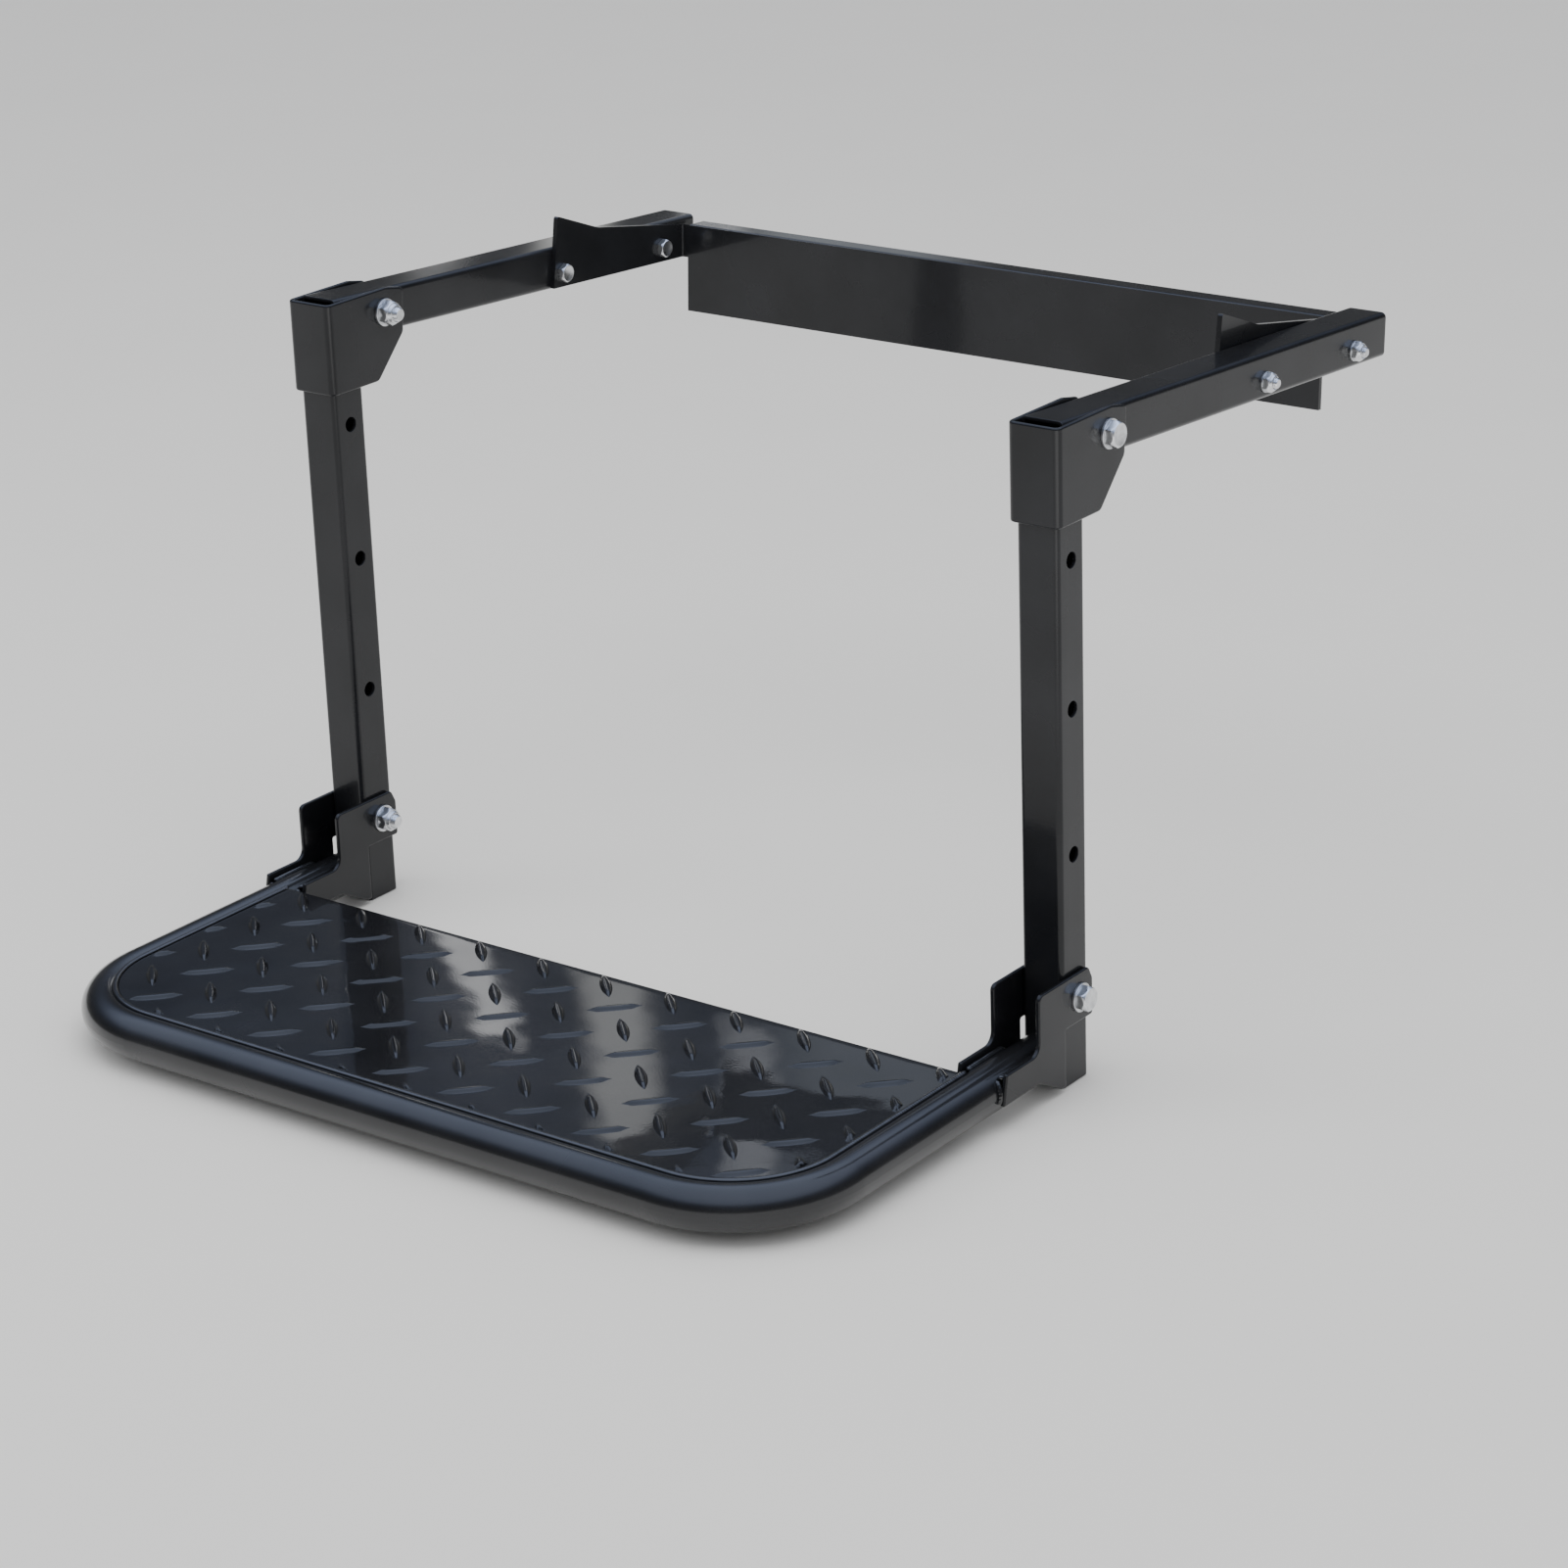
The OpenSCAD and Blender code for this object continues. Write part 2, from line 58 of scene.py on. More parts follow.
# The same sizes as in the part's source, in millimetres
S = {
    "leg_x": 243.5,
    "rail_r": 12.5,
    "rail_bend": 65.0,
    "deck_reach": 256.5,
    "deck_drop": 31.4,
    "plate_t": 2.5,
    "plate_sink": 1.1,
    "plate_rear": 74.0,
    "flange_depth": 18.0,
    "lug_l": 30.0,
    "lug_w": 6.0,
    "lug_h": 1.4,
    "lug_pitch_x": 44.5,
    "lug_pitch_y": 41.0,
    "lug_first_x": 9.0,
    "lug_first_y": 13.0,
    "plate_border": 2.0,
    "weld_gap": 0.05,
    "flange_gap": 1.0,
    "tube_w": 25.0,
    "arm_pivot_y": 31.0,
    "arm_pivot_z": 299.0,
    "arm_slope": 3.4,
    "bracket_half": 15.55,
    "ear_half": 15.55,
    "ear_reach": 72.5,
    "ear_lean": 3.5,
    "ear_step": -18.5,
    "ear_keel": -35.4,
    "ear_front": 38.5,
    "bolt_d": 8.0,
    "bolt_af": 13.0,
    "bolt_head": 5.3,
    "nut_h": 8.0,
    "washer_t": 1.6,
    "bolt_tail": 2.7,
    "hook_t": 3.0,
    "hook_bolt_y": (161.0, 257.0),
    "hook_bolt_z": -3.0,
    "hook_bolt_d": 6.0,
    "hook_bolt_af": 10.0,
    "hook_bolt_head": 4.0,
    "hook_nut_h": 5.0,
    "hook_washer_t": 1.2,
    "hook_bolt_tail": 2.0,
}

# Sizes that only the look has, in millimetres
TUBE_EDGE = 0.35
BRACKET_EDGE = 1.25
PLATE_EDGE = 0.95
WASHER_EDGE = 0.22
HOOK_WASHER_EDGE = 0.18
SHEET_BEND = 2.9
SHEET_CHAMFER = 0.4
SHEET_SINK = 0.02
LUG_SINK = 0.015
LUG_SKIRT = 0.35
LUG_REAR_EDGE = 3.2
THREAD_GAP = 0.01
PIVOT_PITCH = 1.25
PIVOT_THREADED = 14.0
HOOK_PITCH = 1.0
HOOK_THREADED = 12.0
FLOOR_GAP = 0.4
PANEL_Y = 470

# Edges sharper than these angles are rounded, or shade as edges
EASED_FROM = 38
SHEET_SHARP = 50
BEAD_SHARP = 70
LUG_SHARP = 80
FASTENER_SHARP = 32

# The photo's camera, solved from its points: angles in degrees, place in metres
CAMERA_AZIMUTH = 37.18
CAMERA_ELEVATION = 20.96
CAMERA_ROLL = 1.99
CAMERA_PLACE = (1.3707, -1.7158, 0.9062)
FOCAL_PIXELS = 4339.5
PHOTO_PIXELS = 1601
SENSOR_WIDTH = 36.0

plate_top = -S["deck_drop"] + S["rail_r"] - S["plate_sink"]
plate_under = plate_top - S["plate_t"]
plate_seat = math.sqrt(S["rail_r"] ** 2 - (plate_under + S["deck_drop"]) ** 2) + S["weld_gap"]
plate_half = S["leg_x"] - plate_seat
plate_corner = S["rail_bend"] - plate_seat
plate_front = S["deck_reach"] - plate_seat
lug_rear = -S["plate_rear"] - LUG_REAR_EDGE


# Camera

def make_camera():
    az, el, roll = (math.radians(v) for v in (CAMERA_AZIMUTH, CAMERA_ELEVATION, CAMERA_ROLL))
    forward = Vector((-math.sin(az) * math.cos(el), math.cos(az) * math.cos(el), -math.sin(el)))
    right = Vector((math.cos(az), math.sin(az), 0.0))
    down = forward.cross(right)
    turned_right = math.cos(roll) * right + math.sin(roll) * down
    turned_down = -math.sin(roll) * right + math.cos(roll) * down
    data = bpy.data.cameras.new("camera")
    data.sensor_width = SENSOR_WIDTH
    data.lens = FOCAL_PIXELS / PHOTO_PIXELS * SENSOR_WIDTH
    data.clip_start = 0.05
    data.clip_end = 200.0
    cam = bpy.data.objects.new("camera", data)
    bpy.context.collection.objects.link(cam)
    turn = Matrix((turned_right, -turned_down, -forward)).transposed()
    cam.matrix_world = Matrix.Translation(Vector(CAMERA_PLACE)) @ turn.to_4x4()
    bpy.context.scene.camera = cam


# Materials

def new_material(name):
    mat = bpy.data.materials.new(name)
    mat.use_nodes = True
    nodes = mat.node_tree.nodes
    return mat, nodes, mat.node_tree.links, nodes["Principled BSDF"]


def noise_node(nodes, links, coords, scale, detail=3.0, roughness=0.5):
    n = nodes.new("ShaderNodeTexNoise")
    n.inputs["Scale"].default_value = scale
    n.inputs["Detail"].default_value = detail
    n.inputs["Roughness"].default_value = roughness
    links.new(coords.outputs["Object"], n.inputs["Vector"])
    return n


def ramp_node(nodes, links, source, low, high, value_low, value_high):
    r = nodes.new("ShaderNodeMapRange")
    r.inputs["From Min"].default_value = low
    r.inputs["From Max"].default_value = high
    r.inputs["To Min"].default_value = value_low
    r.inputs["To Max"].default_value = value_high
    links.new(source, r.inputs["Value"])
    return r


def colour_mix(nodes, links, factor, first, second):
    m = nodes.new("ShaderNodeMix")
    m.data_type = "RGBA"
    m.inputs["A"].default_value = (*first, 1.0)
    m.inputs["B"].default_value = (*second, 1.0)
    links.new(factor, m.inputs["Factor"])
    return m


def powder_coat(name, roughness, specular, coat, coat_roughness, peel, waves):
    mat, nodes, links, shader = new_material(name)
    coords = nodes.new("ShaderNodeTexCoord")
    cloud = noise_node(nodes, links, coords, 22.0, 4.0)
    shade = ramp_node(nodes, links, cloud.outputs["Fac"], 0.3, 0.7, 0.0, 1.0)
    tone = colour_mix(nodes, links, shade.outputs["Result"], (0.006, 0.0064, 0.0078), (0.013, 0.0136, 0.016))
    # Fine pale dust that settles in patches
    dust = noise_node(nodes, links, coords, 420.0, 6.0, 0.7)
    specks = ramp_node(nodes, links, dust.outputs["Fac"], 0.66, 0.76, 0.0, 0.22)
    dusty = nodes.new("ShaderNodeMix")
    dusty.data_type = "RGBA"
    dusty.inputs["B"].default_value = (0.10, 0.10, 0.095, 1.0)
    links.new(specks.outputs["Result"], dusty.inputs["Factor"])
    links.new(tone.outputs["Result"], dusty.inputs["A"])
    links.new(dusty.outputs["Result"], shader.inputs["Base Color"])
    smear = noise_node(nodes, links, coords, 9.0, 3.0)
    rough = ramp_node(nodes, links, smear.outputs["Fac"], 0.3, 0.7, roughness * 0.85, roughness * 1.2)
    links.new(rough.outputs["Result"], shader.inputs["Roughness"])
    shader.inputs["Specular IOR Level"].default_value = specular
    shader.inputs["Coat Weight"].default_value = coat
    shader.inputs["Coat Roughness"].default_value = coat_roughness
    shader.inputs["Coat IOR"].default_value = 1.45
    # Orange peel of the coat, and the slow waves of the metal under it
    fine = noise_node(nodes, links, coords, 700.0, 1.0)
    wide = noise_node(nodes, links, coords, 28.0, 1.0)
    small = nodes.new("ShaderNodeBump")
    small.inputs["Strength"].default_value = peel
    small.inputs["Distance"].default_value = 0.00006
    links.new(fine.outputs["Fac"], small.inputs["Height"])
    large = nodes.new("ShaderNodeBump")
    large.inputs["Strength"].default_value = waves
    large.inputs["Distance"].default_value = 0.0009
    links.new(wide.outputs["Fac"], large.inputs["Height"])
    links.new(small.outputs["Normal"], large.inputs["Normal"])
    links.new(large.outputs["Normal"], shader.inputs["Normal"])
    links.new(large.outputs["Normal"], shader.inputs["Coat Normal"])
    return mat


def zinc_plate(name, tint, roughness):
    mat, nodes, links, shader = new_material(name)
    coords = nodes.new("ShaderNodeTexCoord")
    cloud = noise_node(nodes, links, coords, 260.0, 4.0)
    shade = ramp_node(nodes, links, cloud.outputs["Fac"], 0.3, 0.7, 0.0, 1.0)
    dark = tuple(c * 0.78 for c in tint)
    tone = colour_mix(nodes, links, shade.outputs["Result"], dark, tint)
    links.new(tone.outputs["Result"], shader.inputs["Base Color"])
    shader.inputs["Metallic"].default_value = 1.0
    rough = ramp_node(nodes, links, cloud.outputs["Fac"], 0.3, 0.7, roughness * 1.3, roughness * 0.8)
    links.new(rough.outputs["Result"], shader.inputs["Roughness"])
    grain = noise_node(nodes, links, coords, 1500.0, 2.0)
    bump = nodes.new("ShaderNodeBump")
    bump.inputs["Strength"].default_value = 0.25
    bump.inputs["Distance"].default_value = 0.00004
    links.new(grain.outputs["Fac"], bump.inputs["Height"])
    links.new(bump.outputs["Normal"], shader.inputs["Normal"])
    return mat


def floor_material():
    mat, nodes, links, shader = new_material("floor_paper")
    coords = nodes.new("ShaderNodeTexCoord")
    grain = noise_node(nodes, links, coords, 6.0, 5.0)
    tone = colour_mix(nodes, links, grain.outputs["Fac"], (0.81, 0.81, 0.805), (0.84, 0.84, 0.835))
    links.new(tone.outputs["Result"], shader.inputs["Base Color"])
    shader.inputs["Roughness"].default_value = 0.85
    shader.inputs["Specular IOR Level"].default_value = 0.2
    return mat


BLACK = powder_coat("powder_coat_black", roughness=0.26, specular=0.22, coat=0.38, coat_roughness=0.07,
                    peel=0.20, waves=0.10)
TUBE = powder_coat("tube_coat_black", roughness=0.25, specular=0.38, coat=0.58, coat_roughness=0.07,
                   peel=0.20, waves=0.10)
DECK = powder_coat("deck_coat_black", roughness=0.24, specular=0.15, coat=0.9, coat_roughness=0.025,
                   peel=0.12, waves=0.28)
WELD = powder_coat("weld_coat_black", roughness=0.22, specular=0.5, coat=0.9, coat_roughness=0.06,
                   peel=0.30, waves=0.0)
ZINC = zinc_plate("zinc_bright", tint=(0.88, 0.89, 0.91), roughness=0.32)
ZINC_WASHER = zinc_plate("zinc_washer", tint=(0.80, 0.81, 0.83), roughness=0.36)


# Mesh helpers

def body_of(node):
    bodies = frame["record"]["behaviour"]["bodies"]
    return next(b for b in bodies if node in bodies[b])


def add_object(name, mesh, body, material, replaces=()):
    obj = bpy.data.objects.new(name, mesh)
    bpy.context.collection.objects.link(obj)
    mesh.materials.clear()
    mesh.materials.append(material)
    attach(obj, body)
    if replaces:
        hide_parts(*replaces)
    return obj


def smooth_mesh(bm, name, sharp_deg):
    """The bmesh as a mesh, smooth except along edges sharper than sharp_deg."""
    for f in bm.faces:
        f.smooth = True
    limit = math.radians(sharp_deg)
    for e in bm.edges:
        e.smooth = len(e.link_faces) == 2 and e.calc_face_angle(0.0) < limit
    mesh = bpy.data.meshes.new(name)
    bm.to_mesh(mesh)
    bm.free()
    return mesh


def weigh_normals(obj):
    """Keeps the flat faces flat to the eye beside their rounded edges."""
    mod = obj.modifiers.new("weights", "WEIGHTED_NORMAL")
    mod.keep_sharp = True
    mod.weight = 80
    dg = bpy.context.evaluated_depsgraph_get()
    mesh = bpy.data.meshes.new_from_object(obj.evaluated_get(dg))
    obj.modifiers.clear()
    obj.data = mesh


def eased_copy(node, radius, material, segments=2):
    """A copy of a CAD node whose cut edges are rounded, which stands for it."""
    bm = bmesh.new()
    bm.from_mesh(frame["nodes"][node].data)
    bmesh.ops.remove_doubles(bm, verts=bm.verts, dist=2e-6)
    bmesh.ops.dissolve_limit(bm, angle_limit=math.radians(0.6), verts=bm.verts, edges=bm.edges)
    least = math.radians(EASED_FROM)
    cut = [e for e in bm.edges if len(e.link_faces) == 2 and e.calc_face_angle(0.0) > least]
    bmesh.ops.bevel(bm, geom=cut, offset=radius * MM, offset_type="OFFSET", segments=segments, profile=0.5,
                    affect="EDGES", clamp_overlap=False)
    bmesh.ops.triangulate(bm, faces=[f for f in bm.faces if len(f.verts) > 4])
    mesh = smooth_mesh(bm, node, SHEET_SHARP)
    weigh_normals(add_object("eased_" + node, mesh, body_of(node), material, [node]))


# Deck plate

def wave(x, y):
    """The sheet's slight unevenness, in millimetres."""
    a = noise.noise(Vector((x / 90.0, y / 70.0, 3.1)))
    b = noise.noise(Vector((x / 34.0, y / 30.0, 7.7)))
    return 0.10 * a + 0.025 * b


def sag(x, y):
    """How far the sheet's face lies from its true plane at a point, never above it."""
    return min(wave(x, y), 0.0) - SHEET_SINK


def front_limit(x, inset=0.0):
    """Y of the plate's front edge at x."""
    r = plate_corner - inset
    straight = plate_half - inset - r
    over = abs(x) - straight
    if over <= 0:
        return -plate_front + inset
    over = min(over, r)
    return -plate_front + inset + r - math.sqrt(max(r * r - over * over, 0.0))


def plate_columns():
    """X places of the plate's columns, closer together round its corners."""
    straight = plate_half - plate_corner
    middle = [-straight + 2 * straight * i / 84 for i in range(85)]
    corner = [straight + plate_corner * math.sin(math.radians(90 * i / 22)) for i in range(1, 23)]
    return [-x for x in reversed(corner)] + middle + corner


def make_deck_plate():
    """The sheet with its slightly uneven faces, its bend and the flange along its rear edge."""
    bm = bmesh.new()
    xs = plate_columns()
    rows = 44
    t = S["plate_t"]
    rear = -S["plate_rear"]
    fold = rear - SHEET_BEND

    def vert(x, y, z):
        return bm.verts.new((x * MM, y * MM, z * MM))

    def grid(height):
        out = []
        for x in xs:
            front = front_limit(x)
            ys = [front + (fold - front) * j / rows for j in range(rows + 1)]
            out.append([vert(x, y, height + sag(x, y)) for y in ys])
        return out

    top = grid(plate_top)
    under = grid(plate_under)
    for i in range(len(xs) - 1):
        for j in range(rows):
            bm.faces.new((top[i][j], top[i + 1][j], top[i + 1][j + 1], top[i][j + 1]))
            bm.faces.new((under[i][j], under[i][j + 1], under[i + 1][j + 1], under[i + 1][j]))
        bm.faces.new((top[i][0], under[i][0], under[i + 1][0], top[i + 1][0]))
    for i in (0, len(xs) - 1):
        for j in range(rows):
            q = (top[i][j], top[i][j + 1], under[i][j + 1], under[i][j])
            bm.faces.new(q if i else tuple(reversed(q)))
    # The bend and the flange under it, from the last row of the top and of the underside
    steps = 8
    depth = plate_under - S["flange_depth"]
    flange_half = S["leg_x"] - S["rail_r"] - S["flange_gap"]
    outer, inner = [], []
    for i, x in enumerate(xs):
        flange_x = max(-flange_half, min(flange_half, x))
        o, n = [top[i][rows]], [under[i][rows]]
        for k in range(1, steps + 1):
            a = math.radians(90 * k / steps)
            bend_x = x + (flange_x - x) * k / steps
            level = plate_top - SHEET_BEND + sag(x, fold) * (1 - k / steps)
            for line, r in ((o, SHEET_BEND), (n, SHEET_BEND - t)):
                line.append(vert(bend_x, fold + r * math.sin(a), level + r * math.cos(a)))
        o.append(vert(flange_x, rear, depth + SHEET_CHAMFER))
        o.append(vert(flange_x, rear - SHEET_CHAMFER, depth))
        n.append(vert(flange_x, rear - t, depth + SHEET_CHAMFER))
        n.append(vert(flange_x, rear - t + SHEET_CHAMFER, depth))
        outer.append(o)
        inner.append(n)
    last = steps + 2
    for i in range(len(xs) - 1):
        for k in range(last):
            bm.faces.new((outer[i][k], outer[i + 1][k], outer[i + 1][k + 1], outer[i][k + 1]))
            bm.faces.new((inner[i][k], inner[i][k + 1], inner[i + 1][k + 1], inner[i + 1][k]))
        bm.faces.new((outer[i][last], outer[i + 1][last], inner[i + 1][last], inner[i][last]))
    for i in (0, len(xs) - 1):
        for k in range(last):
            q = (outer[i][k], outer[i][k + 1], inner[i][k + 1], inner[i][k])
            bm.faces.new(q if i else tuple(reversed(q)))
    bmesh.ops.remove_doubles(bm, verts=bm.verts, dist=1e-6)
    bmesh.ops.recalc_face_normals(bm, faces=bm.faces)
    mesh = smooth_mesh(bm, "deck_tread_plate", SHEET_SHARP)
    add_object("deck_tread_plate", mesh, "deck", DECK, ["deck_plate"])


def smoothstep(a, b, t):
    t = max(0.0, min(1.0, (t - a) / (b - a)))
    return t * t * (3 - 2 * t)


def lug_share(u, v):
    """Share of a lug's height at a place along it (u) and across it (v), both from -1 to 1."""
    flank = 1 - smoothstep(0.38, 1.0, abs(v))
    crown = 1 - 0.12 * min(abs(v) / 0.5, 1.0) ** 2
    ends = 1 - smoothstep(0.60, 1.0, abs(u)) * 0.92
    return flank * crown * ends


def make_lugs():
    """Crowned lugs with soft flanks, on the same lattice as the CAD's."""
    bm = bmesh.new()
    half_l, half_w, h = S["lug_l"] / 2, S["lug_w"] / 2, S["lug_h"]
    side_r = (half_l ** 2 + half_w ** 2) / (2 * half_w)
    border = S["plate_border"]
    columns = math.ceil(plate_half / S["lug_pitch_x"])
    nrows = math.ceil((plate_front - S["plate_rear"]) / S["lug_pitch_y"])
    nu, nv = 22, 12
    # Points of a lug that lie past the plate's edge are marked, and a lug with few others is left out
    off_plate = -0.3
    least_seen = 40

    def inside(x, y):
        if abs(x) > plate_half - border or y > lug_rear:
            return False
        return y > front_limit(x, border)

    def place(cx, cy, turn):
        c, s = math.cos(math.radians(turn)), math.sin(math.radians(turn))
        grid = []
        seen = 0
        for i in range(nu + 1):
            u = -1 + 2 * i / nu
            u = math.copysign(abs(u) ** 0.85, u)
            lx = u * half_l
            width = max(math.sqrt(side_r ** 2 - lx ** 2) - (side_r - half_w), 0.0) + LUG_SKIRT
            row = []
            for j in range(nv + 1):
                v = -1 + 2 * j / nv
                ly = v * width
                x, y = cx + lx * c - ly * s, cy + lx * s + ly * c
                on_plate = inside(x, y)
                seen += on_plate
                row.append((x, y, h * lug_share(u, v) if on_plate else off_plate))
            grid.append(row)
        if seen < least_seen:
            return
        verts = []
        for row in grid:
            line = []
            for x, y, z in row:
                if z < 0:
                    # A lug that the edge of the plate cuts ends there
                    x = max(-(plate_half - border), min(plate_half - border, x))
                    y = min(y, lug_rear)
                    y = max(y, front_limit(x, border))
                height = plate_top + sag(x, y) + z - LUG_SINK
                line.append(bm.verts.new((x * MM, y * MM, height * MM)))
            verts.append(line)
        for i in range(nu):
            for j in range(nv):
                bm.faces.new((verts[i][j], verts[i + 1][j], verts[i + 1][j + 1], verts[i][j + 1]))

    for i in range(-columns, columns + 1):
        for j in range(nrows + 1):
            x = S["lug_first_x"] + i * S["lug_pitch_x"]
            y = -S["plate_rear"] - S["lug_first_y"] - j * S["lug_pitch_y"]
            place(x, y, -45)
            place(x + S["lug_pitch_x"] / 2, y - S["lug_pitch_y"] / 2, 45)
    add_object("deck_tread_lugs", smooth_mesh(bm, "deck_tread_lugs", LUG_SHARP), "deck", DECK)


# Welds

def bead(name, path, up, radius, ripple, squash, seed=0.0):
    """A weld bead of overlapping ripples along a path of points in millimetres, on the deck's body."""
    step = 0.45
    points = []
    for a, b in zip(path, path[1:]):
        n = max(1, round((b - a).length / step))
        points += [a.lerp(b, k / n) for k in range(n)]
    points.append(path[-1])
    bm = bmesh.new()
    sides = 9
    rings = []
    run = 0.0
    for i, p in enumerate(points):
        if i:
            run += (p - points[i - 1]).length
        t = (points[min(i + 1, len(points) - 1)] - points[max(i - 1, 0)]).normalized()
        n = up(p).normalized()
        b = t.cross(n).normalized()
        n = b.cross(t)
        phase = run / ripple
        saw = phase - math.floor(phase)
        wobble = noise.noise(Vector((run / 6.0, seed, 0.0)))
        scale = 1.0 + 0.07 * math.sin(math.pi * saw) + 0.10 * wobble
        ends = min(i, len(points) - 1 - i) * step / radius
        scale *= math.sqrt(max(0.02, 1 - max(0.0, 1 - ends) ** 2))
        ring = []
        for k in range(sides):
            a = math.radians(-25 + 230 * k / (sides - 1))
            back = 0.32 * radius * (1 - abs(math.cos(a)))
            q = p + (b * math.cos(a) + n * math.sin(a) * squash) * radius * scale - t * back
            ring.append(bm.verts.new(q * MM))
        rings.append(ring)
    for r0, r1 in zip(rings, rings[1:]):
        for k in range(sides - 1):
            bm.faces.new((r0[k], r1[k], r1[k + 1], r0[k + 1]))
    bmesh.ops.recalc_face_normals(bm, faces=bm.faces)
    add_object(name, smooth_mesh(bm, name, BEAD_SHARP), "deck", WELD)


def make_deck_weld():
    """The bead in the groove between the plate's edge and the round tube."""
    inboard = plate_seat - 1.9
    z = plate_top + 0.25
    half = S["leg_x"] - inboard
    r = S["rail_bend"] - inboard
    front = -S["deck_reach"] + inboard
    rear = -S["plate_rear"] - 0.5
    path = [Vector((half, rear, z)), Vector((half, front + r, z))]
    for degrees in range(3, 91, 3):
        a = math.radians(degrees)
        path.append(Vector((half - r + r * math.cos(a), front + r - r * math.sin(a), z)))
    path += [Vector((-p.x, p.y, p.z)) for p in reversed(path)]
    bead("deck_plate_weld", path, lambda p: Vector((0, 0, 1)), 1.5, ripple=1.8, squash=0.6)


def make_plate_welds():
    """Beads that join the plates beside the rails to the round tube."""
    top = S["ear_step"]

    def rail(z):
        return math.sqrt(S["rail_r"] ** 2 - (z + S["deck_drop"]) ** 2)

    for side, leg in ((-1, "left"), (1, "right")):
        for out, kind in ((-1, "inner"), (1, "outer")):
            way = side * out
            axis = side * S["leg_x"]
            z = top - 3.6
            ys = (-S["ear_reach"] + S["ear_lean"] + 1.0, -S["ear_front"] - 7.0, -S["ear_front"] + 4.0)
            groove = [Vector((axis + way * (rail(z) + 1.7), y, z)) for y in ys]
            seed = 3.0 * side + out
            bead(f"{leg}_{kind}_plate_top_weld", groove, lambda p: Vector((-0.25 * way, 0, 1)), 1.9,
                 ripple=2.1, squash=0.8, seed=seed)
            tip = []
            for k in range(9):
                z = -22.6 - 11.9 * k / 8
                lean = S["ear_lean"] * (z - S["ear_keel"]) / (top - S["ear_keel"])
                tip.append(Vector((axis + way * (rail(z) + 0.5), -S["ear_reach"] + lean - 0.3, z)))
            bead(f"{leg}_{kind}_plate_tip_weld", tip, lambda p: Vector((way, -0.8, 0)), 1.5,
                 ripple=1.9, squash=0.8, seed=seed + 9.0)


# Fasteners

def pivot_place(side, y, z):
    """Maps a pivot bolt's own frame, with +X from head to nut, to the part's frame."""
    return lambda q: Vector((side * (S["leg_x"] - q.x), y + q.y, z + q.z))


def hook_place(side, back):
    """Maps a hook bolt's own frame, with its origin on the arm's inner face, to the part's frame."""
    a = math.radians(S["arm_slope"])

    def place(q):
        y, z = back + q.y, S["hook_bolt_z"] + q.z
        return Vector((side * (S["leg_x"] - S["tube_w"] / 2 + q.x),
                       S["arm_pivot_y"] + y * math.cos(a) + z * math.sin(a),
                       S["arm_pivot_z"] - y * math.sin(a) + z * math.cos(a)))
    return place


def turned(bm, levels, radius, place, samples):
    """A solid along X whose radius at each level depends on the angle, closed at both ends."""
    rings = []
    for level in levels:
        ring = []
        for k in range(samples):
            a = 360.0 * k / samples
            r = radius(level, a)
            q = Vector((level[0], r * math.sin(math.radians(a)), r * math.cos(math.radians(a))))
            ring.append(bm.verts.new(place(q) * MM))
        rings.append(ring)
    for r0, r1 in zip(rings, rings[1:]):
        for k in range(samples):
            n = (k + 1) % samples
            bm.faces.new((r0[k], r0[n], r1[n], r1[k]))
    bm.faces.new(rings[0])
    bm.faces.new(rings[-1])


def hexagon(angle, across_flats):
    """Radius of a hexagon with slightly rounded corners, its corners on Z."""
    r = across_flats / 2 / math.cos(math.radians(angle % 60 - 30))
    return min(r, across_flats / 2 / math.cos(math.radians(30)) - 0.12)


def hexagon_levels(height, across_flats, start, way):
    """Levels of a hexagon head or nut from its bearing face outwards: place along X and largest radius."""
    shares = (0.0, 0.03, 0.60, 0.66, 0.72, 0.78, 0.84, 0.90, 0.95, 1.0)
    out = []
    for t in shares:
        cone = across_flats / 2 * (1.5 - 0.54 * t)
        out.append((start + way * height * t, cone if t else across_flats / 2 - 0.1))
    return out


def capped(across_flats):
    """Radius of a hexagon that each level's own largest radius cuts off."""
    return lambda level, a: min(hexagon(a, across_flats), level[1])


def finish_fastener(bm, prefix, node):
    bmesh.ops.recalc_face_normals(bm, faces=bm.faces)
    add_object(prefix + node, smooth_mesh(bm, node, FASTENER_SHARP), body_of(node), ZINC, [node])


def make_bolts(node, places, d, across_flats, head, length, pitch, threaded):
    """Bolts with a chamfered hexagon head and a cut thread."""
    bm = bmesh.new()
    depth = 0.61 * pitch
    for place in places:
        levels = hexagon_levels(head, across_flats, 0.0, -1)
        levels += [(-head, across_flats * 0.40), (-head + 0.18, across_flats * 0.37)]
        turned(bm, levels, capped(across_flats), place, 72)
        start = length - threaded
        shank = [(0.0, 0), (start - pitch, 0)]
        count = int((threaded + pitch) / pitch * 6)
        shank += [(start - pitch + (threaded + pitch) * k / count, 1) for k in range(1, count + 1)]

        def thread(level, a):
            x, cut = level
            full = d / 2 - THREAD_GAP
            if not cut:
                return full
            turn = (x / pitch + a / 360.0) % 1.0
            deep = depth * smoothstep(0.0, pitch, x - start + pitch)
            r = full - deep * (1 - abs(2 * turn - 1)) * 0.9
            return min(r, d / 2 - 0.9 + max(0.0, length - x))

        turned(bm, shank, thread, place, 36)
    finish_fastener(bm, "threaded_", node)


